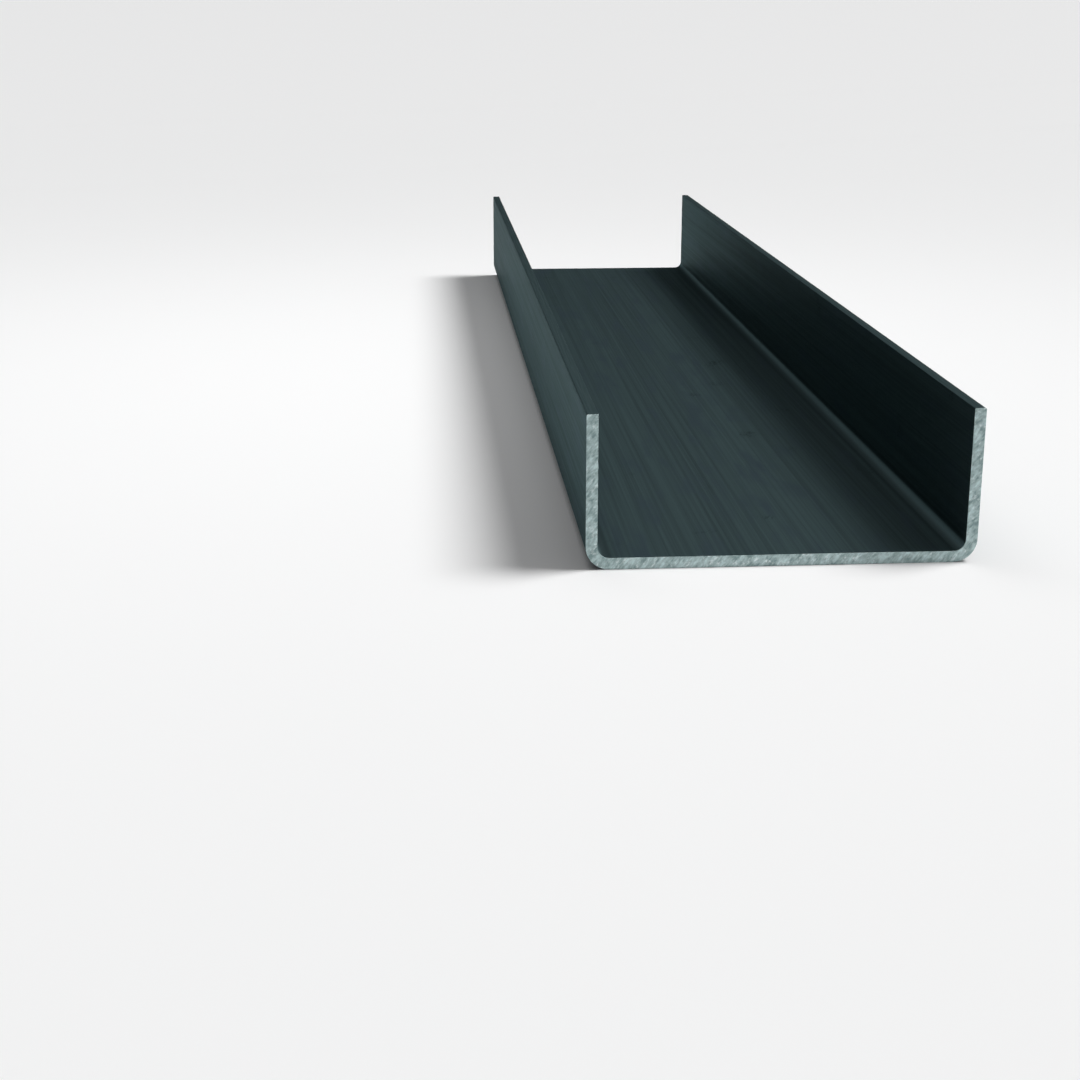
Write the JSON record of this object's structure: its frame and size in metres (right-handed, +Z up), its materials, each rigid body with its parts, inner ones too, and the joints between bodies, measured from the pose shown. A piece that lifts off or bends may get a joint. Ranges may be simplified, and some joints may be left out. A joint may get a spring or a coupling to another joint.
{
  "type": "metal channel section",
  "caption": "Cold-formed steel U channel cut to a short length: flat web, two rounded bends, two upright plain flanges and square saw-cut ends, used as framing stock.",
  "frame": {"origin": "middle of the underside of the web, half way along the stock", "axes": "+X across the web, +Y along the stock, +Z up from the web to the toes"},
  "size_m": [0.1, 0.5, 0.04],
  "materials": {
    "steel": "dark mill scale with fine rolling lines, satin; bright saw-cut ends"
  },
  "bodies": {
    "root": {"channel": "steel"}
  },
  "joints": []
}
